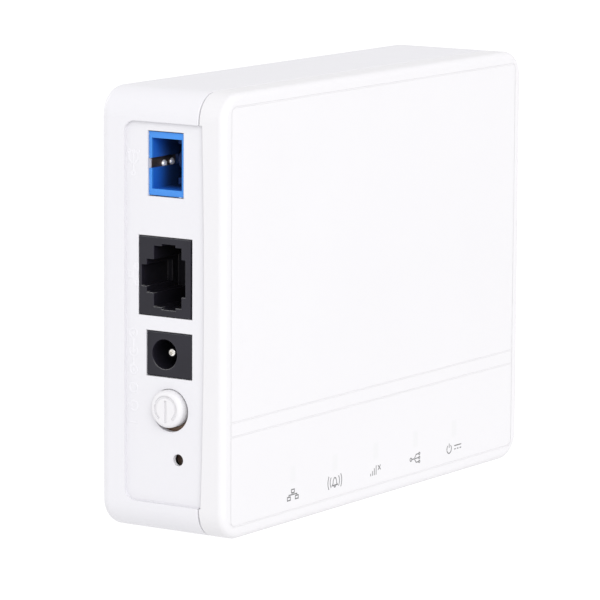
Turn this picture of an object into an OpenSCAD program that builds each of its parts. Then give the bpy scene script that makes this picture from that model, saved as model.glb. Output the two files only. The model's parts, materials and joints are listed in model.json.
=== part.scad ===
// Optical network terminal, standing on its long edge. Millimetres.
// X runs along the long edge, with the port panel at -X. The indicator face looks towards -Y.
// Z is up, and the rubber feet stand on Z = 0. The origin is under the middle of the whole box.

/* [Case] */
// Length of the case along X
case_l = 114; // [112:0.5:118]
// Thickness of the case along Y
case_t = 30.4; // [29.8:0.1:31]
// Height of the case, without its feet
case_h = 89.5; // [89:0.25:92]
// Radius of the outline's corners
corner_r = 5.8; // [5.4:0.1:6.2]
// Rounding along the front face's rim
front_r = 1.4; // [0.8:0.1:1.8]
// Rounding along the back face's rim
rear_r = 2.6; // [1.5:0.1:3]
// Wall thickness of both shells
wall = 2; // [1.8:0.1:2.2]
// Depth of the front cover's side wall
cover_depth = 5.95; // [5.8:0.05:6.6]
// Open seam between the two shells
seam_gap = 0.2; // [0.1:0.05:0.4]
// Rounding of both shells' edges along the seam
seam_r = 0.25; // [0.1:0.05:0.4]

/* [Front face] */
// Distance from the outline to the fine border groove
border_inset = 2.6; // [2:0.1:3.5]
// Width of the grooves on the front face
groove_w = 0.3; // [0.2:0.05:0.6]
// Depth of the grooves on the front face
groove_d = 0.06; // [0.04:0.02:0.4]
// Height of the upper horizontal groove
groove_high_z = 23.7; // [22:0.1:26]
// Height of the lower horizontal groove
groove_low_z = 20.8; // [18:0.1:21.5]
// Distance between neighbouring indicators
led_pitch = 15.6; // [14:0.1:17]
// Height of the indicators
led_z = 10; // [9:0.1:11]

/* [Port panel] */
// Depth of the panel's recess
recess_d = 0.7; // [0.4:0.1:0.9]
// Height of the recess's lower edge
recess_z0 = 6.3; // [5.5:0.1:8]
// Height of the recess's upper edge
recess_z1 = 83.1; // [82.5:0.1:84]
// Place of the recess's rear edge along Y
recess_y1 = 8.8; // [8:0.1:9.5]
// How far the power button stands out of the panel
button_proud = 1.55; // [1:0.05:2]
// Travel of the power button
button_travel = 2.2; // [1.5:0.1:2.4]
// Travel of the reset plunger
reset_travel = 0.3; // [0.2:0.05:0.4]

/* [Feet] */
// How far the rubber feet stand out under the case
foot_proud = 0.5; // [0.3:0.1:1]
// Radius of a rubber foot
foot_r = 3.5; // [3:0.1:4]

/* [Hidden] */
$fn = 96;

eps = 0.01;
// Case planes
front_y = -case_t / 2;
rear_y = case_t / 2;
seam_y = front_y + cover_depth;
port_x = -case_l / 2;
panel_x = port_x + recess_d;
inner_x = port_x + wall;
// The button stands out past the case, so the case moves to keep the whole box centred
case_x = (button_proud - recess_d) / 2;
// Tongue of the rear case inside the cover's rim
tongue_t = 0.9;
tongue_l = 1.8;
tongue_gap = 0.1;
// Bow of the cover's rim beside the port panel
bow_r = 1200;
bow_d = 1.25;
bow_z = 48;
bow_gap = 0.15;
// Circuit board, and the solder gap under the parts that lie on its back
board_t = 1.6;
board_y = -7.15;
board_front_y = board_y - board_t;
part_y = board_y + 0.02;
// Screw places
case_screw_x = case_l / 2 - 4.8;
case_screw_z = 4.8;
case_screws_at = [for (sx = [-1, 1], z = [case_screw_z, case_h - case_screw_z]) [sx * case_screw_x, z]];
case_screw_r = 1.1;
case_head_r = 2;
case_head_y = -4.5;
tower_r = 3.1;
screw_boss_l = 0.1;
board_screws_at = [[-42, 6.8], [44, 9], [-6, 82.5], [44, 80]];
board_screw_r = 1.05;
board_head_r = 2.1;
standoff_r = 2.7;
// Indicators
led_x = [for (i = [-2:2]) -0.7 + i * led_pitch];
window_w = 2.5;
window_h = 3.5;
window_skin = 0.6;
// Optical socket, with its axis along X
sc_y = -0.78;
sc_z = 74.75;
sc_w = 8.55;
sc_h = 12.7;
sc_hollow_w = 7.3;
sc_hollow_h = 10.2;
sc_face_x = panel_x + 0.4;
sc_flange_x = -40.5;
sc_end_x = -31;
sc_bore_r = 1.7;
ferrule_r = 1.25;
key_w = 2.07;
key_l = 9;
module_w = 7.2;
module_end_x = -21;
clip_t = 0.35;
clip_w = 3.4;
clip_end_x = -38;
// Network socket
lan_y0 = board_y;
lan_y1 = 5.7;
lan_z = 52.2;
lan_w = 15.9;
lan_l = 18;
lan_face_x = panel_x + 0.05;
lan_cavity_l = 14;
// Power socket
dc_y1 = 3.83;
dc_z = 36.6;
dc_w = 9.06;
dc_l = 14.4;
dc_axis_y = -0.39;
dc_hole_r = 3.05;
dc_hole_l = 10;
dc_face_x = panel_x + 0.25;
dc_pin_r = 1;
dc_shank_r = 1.3;
dc_tail_t = 0.5;
// Power switch
button_y = -1.8;
button_z = 25.83;
button_r = 3.83;
button_hole_r = 4.36;
button_hole_y = -1.93;
button_hole_z = 25.42;
button_face_x = panel_x - button_proud;
button_end_x = -49.6;
guide_r = 5.25;
guide_t = 1.2;
switch_x0 = -46;
switch_l = button_travel + 7.3;
switch_w = 8.5;
plunger_w = 3;
plunger_base = 5.6;
plunger_base_l = 2;
switch_wall = 1.2;
// Reset switch
reset_y = -3.88;
reset_z = 15.54;
reset_hole_r = 1.2;
reset_x0 = -50.6;
reset_l = reset_travel + 3.3;
reset_w = 6;
reset_stem_r = 1.5;
reset_wall = 0.85;
reset_tip_x = -54.5;
// Keyholes for hanging on a wall
keyhole_pitch = 60;
keyhole_z = 60;
keyhole_r = 3.75;
keyhole_slot_w = 3.8;
keyhole_rise = 7;
// Vents
vent_w = 1.8;
vent_pitch = 6;
// Rating label
label_w = 46;
label_h = 25;
label_z = 42;
label_t = 0.12;
label_seat = 0.2;
// Rubber feet
foot_seat = 0.6;
feet_at = [for (x = [-44, 44], y = [-3.4, 9.6]) [x, y]];
// Processor under its heat sink
cpu_x = 8;
cpu_z = 45;
cpu_t = 1.4;
pad_t = 0.5;

// Moves a sub-part from the case's own frame to the part's frame
module in_case() {
    translate([case_x, 0, foot_proud]) children();
}

// Box from its low corner to its high corner
module block(low, high) {
    translate(low) cube(high - low);
}

// Flat rectangle with round corners, centred
module round_rect(w, h, r) {
    square([w - 2 * r, h], center = true);
    square([w, h - 2 * r], center = true);
    for (sx = [-1, 1], sy = [-1, 1])
        translate([sx * (w / 2 - r), sy * (h / 2 - r)]) circle(r = r);
}

// Upright plate in the XZ plane, from y0 to y1, with the case's centre line
module plate(inset, y0, y1) {
    translate([0, y1, case_h / 2]) rotate([90, 0, 0]) linear_extrude(y1 - y0)
        round_rect(case_l - 2 * inset, case_h - 2 * inset, max(corner_r - inset, 0.5));
}

// Cylinder along +Y, from y0 to y1
module rod_y(x, z, r, y0, y1) {
    translate([x, y0, z]) rotate([-90, 0, 0]) cylinder(r = r, h = y1 - y0);
}

// Cylinder along +X, from x0 to x1
module rod_x(y, z, r, x0, x1) {
    translate([x0, y, z]) rotate([0, 90, 0]) cylinder(r = r, h = x1 - x0);
}

// Half section w wide from y0 to y1, its outer corners rounded by r0 at y0 and r1 at y1
module rim_section(w, y0, y1, r0, r1) {
    deepest = max(r0, r1);
    translate([0, y0]) square([w - deepest, y1 - y0]);
    translate([0, y0 + r0]) square([w, y1 - y0 - r0 - r1]);
    if (r0 > 0) {
        translate([0, y0]) square([w - r0, r0]);
        translate([w - r0, y0 + r0]) circle(r = r0);
    }
    if (r1 > 0) {
        translate([0, y1 - r1]) square([w - r1, r1]);
        translate([w - r1, y1 - r1]) circle(r = r1);
    }
}

// Solid with the case's outline from y0 to y1, and rounded rims
module case_slab(y0, y1, r0, r1) {
    flat_l = case_l - 2 * corner_r;
    flat_h = case_h - 2 * corner_r;
    for (sx = [0, 1]) mirror([sx, 0, 0]) {
        translate([flat_l / 2, 0, corner_r]) linear_extrude(flat_h)
            rim_section(corner_r, y0, y1, r0, r1);
        translate([flat_l / 2, 0, corner_r]) rotate([-90, 0, 0]) rotate_extrude(angle = 90)
            rim_section(corner_r, y0, y1, r0, r1);
        translate([flat_l / 2, 0, case_h - corner_r]) rotate([-90, -90, 0]) rotate_extrude(angle = 90)
            rim_section(corner_r, y0, y1, r0, r1);
    }
    translate([-flat_l / 2, 0, 0]) rotate([90, 0, 90]) linear_extrude(flat_l) {
        translate([0, case_h - corner_r]) rotate(90) mirror([0, 1]) rim_section(corner_r, y0, y1, r0, r1);
        translate([0, corner_r]) rotate(-90) rim_section(corner_r, y0, y1, r0, r1);
        translate([y0, corner_r]) square([y1 - y0, flat_h]);
    }
}

// Round-ended slot cut along Y, w wide and h high
module slot_y(x, z, w, h, y0, y1) {
    translate([x, y1, z]) rotate([90, 0, 0]) linear_extrude(y1 - y0) round_rect(w, h, w / 2 - eps);
}

// Slice of a wide cylinder whose edge is the bow of the cover's rim, drawn back by gap
module bow(gap, x0, x1, y1, z0, z1) {
    intersection() {
        rod_x(seam_y - bow_d + bow_r, bow_z, bow_r - gap, x0, x1);
        block([x0, seam_y - bow_d - 1, z0], [x1, y1, z1]);
    }
}

module front_cover() {
    border_r = 1.4;
    boss_end_y = seam_y + screw_boss_l;
    color("#f9f8fa") in_case() difference() {
        union() {
            difference() {
                case_slab(front_y, seam_y, front_r, seam_r);
                plate(wall, front_y + wall, seam_y + 1);
            }
            for (p = case_screws_at) rod_y(p.x, p.y, tower_r, front_y + wall - eps, boss_end_y);
        }
        // rabbet for the rear case's tongue
        difference() {
            plate(wall - tongue_t - tongue_gap, seam_y - tongue_l, seam_y + 1);
            plate(wall, seam_y - tongue_l - 1, seam_y + 2);
        }
        // border groove
        difference() {
            groove(border_inset, border_r);
            translate([0, -1, 0]) groove(border_inset + groove_w, border_r - groove_w, 3);
        }
        // two horizontal grooves
        for (z = [groove_low_z, groove_high_z])
            block([-case_l / 2 + border_inset, front_y - 1, z],
                  [case_l / 2 - border_inset, front_y + groove_d, z + groove_w]);
        // thin places in front of the light pipes
        for (x = led_x) slot_pocket(x);
        for (p = case_screws_at)
            rod_y(p.x, p.y, case_screw_r + 0.02, front_y + wall - 0.6, boss_end_y + 1);
        // shallow bow in the rim beside the port panel
        bow(0, port_x - 1, port_x + wall - tongue_t + 0.05, seam_y + 1, recess_z0, recess_z1);
    }
    module groove(inset, r, deeper = 0) {
        translate([0, front_y + groove_d + deeper, case_h / 2]) rotate([90, 0, 0])
            linear_extrude(groove_d + deeper + 1) round_rect(case_l - 2 * inset, case_h - 2 * inset, r);
    }
    module slot_pocket(x) {
        block([x - window_w / 2, front_y + window_skin, led_z - window_h / 2],
              [x + window_w / 2, front_y + wall + 1, led_z + window_h / 2]);
    }
}

module rear_case() {
    case_back = rear_y - wall;
    cavity_y0 = seam_y - tongue_l - 1;
    tongue_inset = wall - tongue_t;
    shell_y0 = seam_y + seam_gap;
    color("#f4f3f8") in_case() difference() {
        union() {
            difference() {
                union() {
                    case_slab(shell_y0, rear_y, seam_r, rear_r);
                    plate(tongue_inset, seam_y - tongue_l + 0.2, shell_y0 + eps);
                    // floor of the port panel, carried on under the bow of the cover's rim
                    bow(bow_gap, panel_x, port_x + tongue_inset + eps, shell_y0 + eps,
                        recess_z0 + tongue_gap, recess_z1 - tongue_gap);
                }
                plate(wall, cavity_y0, case_back);
            }
            for (p = case_screws_at) rod_y(p.x, p.y, tower_r, seam_y + screw_boss_l + 0.02, case_back + eps);
            for (p = board_screws_at) rod_y(p.x, p.y, standoff_r, board_y, case_back + eps);
        }
        panel_recess();
        panel_openings();
        for (p = case_screws_at) {
            rod_y(p.x, p.y, case_head_r + 0.15, case_head_y, rear_y + 1);
            rod_y(p.x, p.y, case_screw_r + 0.2, seam_y - 2, rear_y);
        }
        for (p = board_screws_at) rod_y(p.x, p.y, board_screw_r + 0.02, board_y - 1, board_y + 8);
        keyholes();
        rear_vents();
        bottom_vents();
        label_recess();
        for (p = feet_at) translate([p.x, p.y, -1]) cylinder(r = foot_r + 0.1, h = 1 + foot_seat);
    }
    // floor of the port panel, open towards the cover
    module panel_recess() {
        r = 2.4;
        length = recess_z1 - recess_z0;
        translate([panel_x, 0, 0]) rotate([0, -90, 0]) linear_extrude(recess_d + 1) {
            translate([recess_z0, shell_y0 - 4]) square([length, recess_y1 - r - shell_y0 + 4]);
            translate([recess_z0 + r, shell_y0]) square([length - 2 * r, recess_y1 - shell_y0]);
            for (z = [recess_z0 + r, recess_z1 - r]) translate([z, recess_y1 - r]) circle(r = r);
        }
    }
    module panel_openings() {
        gap = 0.12;
        x0 = port_x - 1;
        x1 = inner_x + 1;
        sc_play = 0.07;
        sc_play_z = 0.2;
        block([x0, sc_y - sc_w / 2 - sc_play, sc_z - sc_h / 2 - sc_play_z],
              [x1, sc_y + sc_w / 2 + sc_play, sc_z + sc_h / 2 + sc_play_z]);
        block([x0, lan_y0 - gap, lan_z - lan_w / 2 - gap], [x1, lan_y1 + gap, lan_z + lan_w / 2 + gap]);
        block([x0, board_y - gap, dc_z - dc_w / 2 - gap], [x1, dc_y1 + gap, dc_z + dc_w / 2 + gap]);
        rod_x(button_hole_y, button_hole_z, button_hole_r, x0, x1);
        rod_x(reset_y, reset_z, reset_hole_r, x0, x1);
        // room for the reset plunger behind a thinner wall
        rod_x(reset_y, reset_z, reset_stem_r + 0.4, panel_x + reset_wall, x1);
    }
    module keyholes() {
        for (sx = [-1, 1]) {
            x = sx * keyhole_pitch / 2;
            slot_r = keyhole_slot_w / 2;
            rod_y(x, keyhole_z, keyhole_r, case_back - 1, rear_y + 1);
            rod_y(x, keyhole_z + keyhole_rise, slot_r, case_back - 1, rear_y + 1);
            block([x - slot_r, case_back - 1, keyhole_z], [x + slot_r, rear_y + 1, keyhole_z + keyhole_rise]);
        }
    }
    module rear_vents() {
        vent_h = 11;
        low_z = 17;
        high_z = 77;
        for (i = [-5:5]) vent(i * vent_pitch, low_z);
        for (i = [-4:4]) vent(i * vent_pitch, high_z);
        module vent(x, z) {
            slot_y(x, z, vent_w, vent_h, case_back - 1, rear_y + 1);
        }
    }
    module bottom_vents() {
        for (i = [-4:4]) translate([i * vent_pitch, 4, -1])
            linear_extrude(wall + 2) round_rect(vent_w, 12, vent_w / 2 - eps);
    }
    module label_recess() {
        translate([0, rear_y + 1, label_z]) rotate([90, 0, 0])
            linear_extrude(1 + label_seat) round_rect(label_w + 0.4, label_h + 0.4, 1.2);
    }
}

module light_guide() {
    gap = 0.12;
    tip_w = window_w - 2 * gap;
    tip_h = window_h - 2 * gap;
    pipe_y1 = board_front_y - 1.45;
    bar_y0 = front_y + wall + 0.2;
    bar_y1 = bar_y0 + 1.2;
    bar_over = 3;
    color("#e8eef2", 0.9) in_case() {
        for (x = led_x)
            block([x - tip_w / 2, front_y + window_skin + gap, led_z - tip_h / 2],
                  [x + tip_w / 2, pipe_y1, led_z + tip_h / 2]);
        block([led_x[0] - bar_over, bar_y0, led_z - 3.4], [led_x[4] + bar_over, bar_y1, led_z - 1]);
    }
}

module rubber_feet() {
    color("#4a4b4f") in_case() for (p = feet_at) translate([p.x, p.y, -foot_proud])
        rotate_extrude() rim_section(foot_r, 0, foot_proud + foot_seat, 0.3, 0);
}

module rating_label() {
    color("#e9ebee") in_case() translate([0, rear_y - label_seat + label_t, label_z]) rotate([90, 0, 0])
        linear_extrude(label_t) round_rect(label_w, label_h, 1);
}

// Pan-head screw along +Y, with the underside of its head at the origin and its shank towards -Y
module pan_screw(shank_r, shank_l, head_r, head_h) {
    slot_w = 0.6;
    slot_l = head_r * 1.2;
    difference() {
        union() {
            rotate([-90, 0, 0]) rotate_extrude() rim_section(head_r, 0, head_h, 0, head_h * 0.45);
            translate([0, -shank_l, 0]) rotate([-90, 0, 0]) cylinder(r = shank_r, h = shank_l + eps);
        }
        for (a = [0, 90]) rotate([0, a, 0])
            block([-slot_l / 2, head_h * 0.45, -slot_w / 2], [slot_l / 2, head_h + 1, slot_w / 2]);
    }
}

module case_screws() {
    color("#b9bcc2") in_case() for (p = case_screws_at)
        translate([p.x, case_head_y, p.y]) pan_screw(case_screw_r, 8, case_head_r, 1.5);
}

module board_screws() {
    color("#b9bcc2") in_case() for (p = board_screws_at)
        translate([p.x, board_front_y, p.y]) mirror([0, 1, 0])
            pan_screw(board_screw_r, 6, board_head_r, 1.3);
}

module main_board() {
    edge = wall + 0.6;
    tower_gap = 0.5;
    notch_x = case_screw_x - tower_r - tower_gap;
    notch_z = case_screw_z + tower_r + tower_gap;
    color("#1f7a4a") in_case() difference() {
        block([-case_l / 2 + edge, board_front_y, edge], [case_l / 2 - edge, board_y, case_h - edge]);
        for (sx = [-1, 1], top = [0, 1]) mirror([sx > 0 ? 0 : 1, 0, 0])
            block([notch_x, board_front_y - 1, top == 1 ? case_h - notch_z : -1],
                  [case_l, board_y + 1, top == 1 ? case_h + 1 : notch_z]);
        for (p = board_screws_at) rod_y(p.x, p.y, board_screw_r + 0.25, board_front_y - 1, board_y + 1);
    }
}

module optical_receptacle() {
    holder_r = 2.4;
    holder_x = -48.5;
    flange_t = 2;
    color("#3d7bd6") in_case() difference() {
        union() {
            difference() {
                tunnel(sc_w, sc_h, sc_face_x, sc_end_x);
                tunnel(sc_hollow_w, sc_hollow_h, sc_face_x - 1, sc_flange_x);
                tunnel(6.8, 8.8, sc_flange_x + flange_t, sc_end_x + 1);
            }
            rod_x(sc_y, sc_z, holder_r, holder_x, sc_flange_x + eps);
        }
        rod_x(sc_y, sc_z, sc_bore_r, holder_x - 1, sc_flange_x + flange_t + 1);
        // keyway through the back wall
        block([sc_face_x - 1, sc_y + sc_hollow_w / 2 - 1, sc_z - key_w / 2],
              [sc_face_x + key_l, sc_y + sc_w, sc_z + key_w / 2]);
    }
    module tunnel(w, h, x0, x1) {
        block([x0, sc_y - w / 2, sc_z - h / 2], [x1, sc_y + w / 2, sc_z + h / 2]);
    }
}

module receptacle_clip() {
    x0 = inner_x + 0.1;
    y0 = sc_y + sc_w / 2 + 0.02;
    bent_l = 2.6;
    dimple_r = 0.85;
    dimples_at = [[-50.9, -0.6], [-48.2, -0.45]];
    keyway_half = key_w / 2 - 0.04;
    color("#4a3f3c") in_case() {
        block([x0, y0, sc_z - clip_w / 2], [clip_end_x, y0 + clip_t, sc_z + clip_w / 2]);
        block([clip_end_x - clip_t, y0, sc_z - clip_w / 2], [clip_end_x, y0 + bent_l, sc_z + clip_w / 2]);
        for (at = dimples_at) intersection() {
            translate([at.x, y0 + 0.2, sc_z + at.y]) sphere(r = dimple_r);
            block([at.x - 1, y0 - 1, sc_z - keyway_half], [at.x + 1, y0 + clip_t / 2, sc_z + keyway_half]);
        }
    }
}

module receptacle_latches() {
    tip_x = -49.6;
    root_x = sc_flange_x - 0.05;
    arm_z = 3.95;
    arm_t = 0.8;
    hook = [1.2, 0.55];
    half_w = 1.6;
    color("#2f66bd") in_case() for (low = [0, 1]) translate([0, sc_y, sc_z]) mirror([0, 0, low]) {
        block([tip_x, -half_w, arm_z], [root_x, half_w, arm_z + arm_t]);
        block([tip_x, -half_w, arm_z - hook.y], [tip_x + hook.x, half_w, arm_z + eps]);
    }
}

module ferrule_sleeve() {
    x0 = -48.2;
    x1 = -36.8;
    slit_w = 0.24;
    color("#f2efe6") in_case() difference() {
        rod_x(sc_y, sc_z, sc_bore_r - 0.05, x0, x1);
        rod_x(sc_y, sc_z, ferrule_r, x0 - 1, x1 + 1);
        block([x0 - 1, sc_y - slit_w / 2, sc_z + 1], [x1 + 1, sc_y + slit_w / 2, sc_z + 2]);
    }
}

module optical_module() {
    neck_x = -36.4;
    body_x = -30.2;
    half_w = module_w / 2;
    color("#c9ccd1") in_case() difference() {
        union() {
            rod_x(sc_y, sc_z, 3.2, neck_x, body_x + 0.2);
            block([body_x, sc_y - half_w, sc_z - half_w], [module_end_x, sc_y + half_w, sc_z + half_w]);
        }
        rod_x(sc_y, sc_z, 0.6, neck_x - 1, body_x);
    }
}

// Round metal can along +X from x0, with its leads
module metal_can(can_r, can_l, lead_l) {
    flange_x = can_l + 0.8;
    lead_pitch = 1.8;
    rod_x(0, 0, can_r, 0, can_l);
    rod_x(0, 0, can_r + 0.45, can_l - eps, flange_x);
    for (sy = [-0.5, 0.5], sz = [-0.5, 0.5])
        rod_x(sy * lead_pitch, sz * lead_pitch, 0.23, flange_x - eps, flange_x + lead_l);
}

module laser_can() {
    color("#d8b45a") in_case() translate([module_end_x + 0.02, sc_y, sc_z]) metal_can(2.35, 3.4, 3);
}

module receiver_can() {
    color("#d8b45a") in_case() translate([module_end_x - 4.6, sc_y, sc_z - module_w / 2 - 0.02])
        rotate([0, 90, 0]) metal_can(2.1, 0.6, 1.6);
}

module optics_shield() {
    low = [-34, part_y, 67];
    high = [-12.6, 4.9, 82.4];
    sheet = 0.25;
    gap = 0.2;
    socket_low = [low.x - 1, low.y - 1, sc_z - sc_h / 2 - gap];
    socket_high = [low.x + 1, sc_y + sc_w / 2 + gap, sc_z + sc_h / 2 + gap];
    color("#c4c7cb") in_case() difference() {
        block(low, high);
        block(low + [sheet, -1, sheet], high - [sheet, sheet, sheet]);
        block(socket_low, socket_high);
        for (i = [0:3], j = [0:1]) rod_y(-29 + i * 4, 71.5 + j * 6.4, 0.9, high.y - 1, high.y + 1);
    }
}

module lan_socket_housing() {
    edge = 0.25;
    lip = [2.2, 0.35];
    steps = [-5.57, -4.62, -3.14, 0.24, 2.14, 3.9, 5.12];
    widths = [7.5, 12.15, 13.2, 12.3, 6.75, 4.34];
    lengths = [lan_cavity_l, lan_cavity_l, lan_cavity_l, lan_cavity_l, 11, 9];
    color("#37373d") in_case() difference() {
        block([lan_face_x, part_y, lan_z - lan_w / 2], [lan_face_x + lan_l, lan_y1, lan_z + lan_w / 2]);
        // stepped mouth: latch slots at the back, plug body in the middle, contact slots in front
        for (i = [0:len(widths) - 1]) mouth(steps[i], steps[i + 1], widths[i], lengths[i]);
        // step beside the board's edge, and broken edges round the face
        block([lan_face_x - 1, lan_y0 - 1, 0], [lan_face_x + lip.x, lan_y0 + lip.y, case_h]);
        for (z = [lan_z - lan_w / 2, lan_z + lan_w / 2]) broken_edge(z, edge);
    }
    module mouth(y0, y1, w, l) {
        block([lan_face_x - 1, y0 - eps, lan_z - w / 2], [lan_face_x + l, y1, lan_z + w / 2]);
    }
    module broken_edge(z, size) {
        translate([lan_face_x, 0, z]) rotate([0, 45, 0]) cube([size, 40, size], center = true);
    }
}

module lan_contacts() {
    pitch = 1.02;
    wire = 0.34;
    wire_t = 0.3;
    tip = [-53.2, -4.3];
    slope = 9.2;
    root_x = -42.4;
    length = (root_x - tip.x) / cos(slope);
    color("#d9b24c") in_case() for (i = [-3.5:1:3.5]) translate([0, 0, lan_z + i * pitch - wire / 2]) {
        translate([tip.x, tip.y, 0]) rotate([0, 0, slope]) cube([length - 0.1, wire_t, wire]);
        block([root_x - 0.6, tip.y + 1.4, 0], [root_x, tip.y + 2.1, wire]);
    }
}

module lan_transformer() {
    x0 = -34;
    length = 14;
    half_w = 5.5;
    leg_pitch = 1.6;
    color("#2b2b2f") in_case() {
        block([x0, board_y + 0.3, lan_z - half_w], [x0 + length, -1.4, lan_z + half_w]);
        for (i = [0:7], side = [-1, 1]) translate([x0 + 1.2 + i * leg_pitch, part_y, lan_z + side * 6.2])
            block([0, 0, -1], [0.5, 0.38, 1]);
    }
}

module dc_socket_housing() {
    edge = 0.3;
    window = 2.6;
    color("#37373c") in_case() difference() {
        block([dc_face_x, part_y, dc_z - dc_w / 2], [dc_face_x + dc_l, dc_y1, dc_z + dc_w / 2]);
        rod_x(dc_axis_y, dc_z, dc_hole_r, dc_face_x - 1, dc_face_x + dc_hole_l);
        rod_x(dc_axis_y, dc_z, dc_shank_r + 0.02, dc_face_x, dc_face_x + dc_l + 1);
        // window for the side spring
        block([dc_face_x + 4, board_y - 1, dc_z - window / 2],
              [dc_face_x + dc_l - 2.4, dc_axis_y - 2.4, dc_z + window / 2]);
        // broken edges at the top and bottom of the face
        for (z = [dc_z - dc_w / 2, dc_z + dc_w / 2])
            translate([dc_face_x, 0, z]) rotate([0, 45, 0]) cube([edge, 40, edge], center = true);
    }
}

module dc_socket_pin() {
    tip_x = dc_face_x + 2.3;
    shoulder_x = dc_face_x + dc_hole_l;
    pin_l = shoulder_x - tip_x;
    tip_bore_r = 0.44;
    tip_bore_l = 1;
    tail_x = dc_face_x + dc_l + 0.1;
    color("#dadde0") in_case() {
        translate([shoulder_x, dc_axis_y, dc_z]) rotate([0, -90, 0]) rotate_extrude() difference() {
            rim_section(dc_pin_r, -0.1, pin_l, 0, dc_pin_r / 2);
            translate([0, pin_l - tip_bore_l]) square([tip_bore_r, tip_bore_l + 1]);
        }
        rod_x(dc_axis_y, dc_z, dc_shank_r, shoulder_x, tail_x + dc_tail_t);
        block([tail_x, part_y, dc_z - 1], [tail_x + dc_tail_t, dc_axis_y, dc_z + 1]);
    }
}

module dc_socket_spring() {
    leaf_t = 0.3;
    color("#cfd2d6") in_case() {
        translate([dc_face_x + 4.4, -3.9, dc_z - 1]) rotate([0, 0, 6]) cube([6.2, leaf_t, 2]);
        block([dc_face_x + 10.3, part_y, dc_z - 1], [dc_face_x + 10.3 + leaf_t, -3, dc_z + 1]);
    }
}

module power_button() {
    mark_d = 0.25;
    mark_r = 2.75;
    mark_w = 0.48;
    mark_gap = 76;
    mark_bar_top = 1.7;
    skirt_t = 1;
    skirt_x = -54.5;
    socket_w = plunger_w + 0.04;
    socket_x = -52.5;
    post_half = plunger_w / 2 + 0.8;
    color("#f7f6f8") in_case() translate([0, button_y, button_z]) difference() {
        translate([button_face_x, 0, 0]) rotate([0, 90, 0]) rotate_extrude()
            rim_section(button_r, 0, button_end_x - button_face_x, 0.9, 0);
        // on and off sign: a ring open at the bottom, and a bar through the opening
        translate([button_face_x + mark_d, 0, 0]) rotate([0, -90, 0])
            rotate([0, 0, 180 + mark_gap / 2]) rotate_extrude(angle = 360 - mark_gap)
                translate([mark_r - mark_w, 0]) square([mark_w, 1 + mark_d]);
        block([button_face_x - 1, -mark_w / 2, -mark_r], [button_face_x + mark_d, mark_w / 2, mark_bar_top]);
        // hollow skirt round a square socket for the plunger
        difference() {
            rod_x(0, 0, button_r - skirt_t, skirt_x, button_end_x + 1);
            block([skirt_x - 1, -post_half, -post_half], [button_end_x + 1, post_half, post_half]);
        }
        block([socket_x, -socket_w / 2, -socket_w / 2], [button_end_x + 1, socket_w / 2, socket_w / 2]);
    }
}

// Ring behind the panel that the button slides in, with a flat foot on the board
module button_guide() {
    play = 0.12;
    x0 = inner_x + 0.05;
    x1 = x0 + guide_t;
    color("#6a4a38") in_case() difference() {
        union() {
            rod_x(button_y, button_z, guide_r, x0, x1);
            block([x0, part_y, button_z - guide_r], [x1, button_y, button_z + guide_r]);
        }
        rod_x(button_y, button_z, button_r + play, x0 - 1, x1 + 1);
    }
}

module switch_body() {
    x1 = switch_x0 + switch_l;
    y1 = button_y + plunger_base / 2 + switch_wall + 0.1;
    color("#2e2e33") in_case() difference() {
        block([switch_x0, part_y, button_z - switch_w / 2], [x1, y1, button_z + switch_w / 2]);
        square_hole(plunger_base + 0.1, switch_x0 + switch_wall, x1 - switch_wall);
        square_hole(plunger_w + 0.1, switch_x0 - 1, switch_x0 + 2);
    }
    color("#c8cacd") in_case() for (i = [0:2], side = [-1, 1])
        block([switch_x0 + 1.6 + i * 2.6, part_y, button_z + side * (switch_w / 2 + 0.4) - 0.4],
              [switch_x0 + 2.2 + i * 2.6, board_y + 2, button_z + side * (switch_w / 2 + 0.4) + 0.4]);
    module square_hole(w, hx0, hx1) {
        block([hx0, button_y - w / 2, button_z - w / 2], [hx1, button_y + w / 2, button_z + w / 2]);
    }
}

module switch_plunger() {
    base_x = switch_x0 + switch_wall + 0.05;
    color("#e4e4e6") in_case() translate([0, button_y, button_z]) {
        block([-52.4, -plunger_w / 2, -plunger_w / 2], [base_x + eps, plunger_w / 2, plunger_w / 2]);
        block([base_x, -plunger_base / 2, -plunger_base / 2],
              [base_x + plunger_base_l, plunger_base / 2, plunger_base / 2]);
    }
}

// Points of one ring of a coil spring's wire
function wire_ring(a, coil_r, wire_r, x, sides) = [
    for (j = [0:sides - 1])
        let (b = 360 * j / sides, r = coil_r + wire_r * cos(b))
            [x + wire_r * sin(b), r * cos(a), r * sin(a)]
];

module switch_spring() {
    x0 = switch_x0 + switch_wall + 0.05 + plunger_base_l + 0.25;
    x1 = switch_x0 + switch_l - switch_wall - 0.25;
    turns = 5;
    steps = 16;
    sides = 6;
    rings = turns * steps;
    points = [
        for (i = [0:rings]) each wire_ring(i * 360 / steps, 1.9, 0.2, x0 + (x1 - x0) * i / rings, sides)
    ];
    tube = [
        for (i = [0:rings - 1], j = [0:sides - 1])
            let (k = (j + 1) % sides)
                [i * sides + j, (i + 1) * sides + j, (i + 1) * sides + k, i * sides + k]
    ];
    first_cap = [for (j = [0:sides - 1]) j];
    last_cap = [for (j = [sides - 1:-1:0]) rings * sides + j];
    color("#b9bcc0") in_case() translate([0, button_y, button_z])
        polyhedron(points = points, faces = concat([first_cap], tube, [last_cap]), convexity = 10);
}

module reset_switch_body() {
    x1 = reset_x0 + reset_l;
    color("#26262a") in_case() difference() {
        block([reset_x0, part_y, reset_z - reset_w / 2], [x1, part_y + reset_w, reset_z + reset_w / 2]);
        rod_x(reset_y, reset_z, reset_stem_r + 0.1, reset_x0 - 1, reset_x0 + 1);
        rod_x(reset_y, reset_z, 2.4, reset_x0 + 0.6, x1 - 0.6);
    }
}

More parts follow.
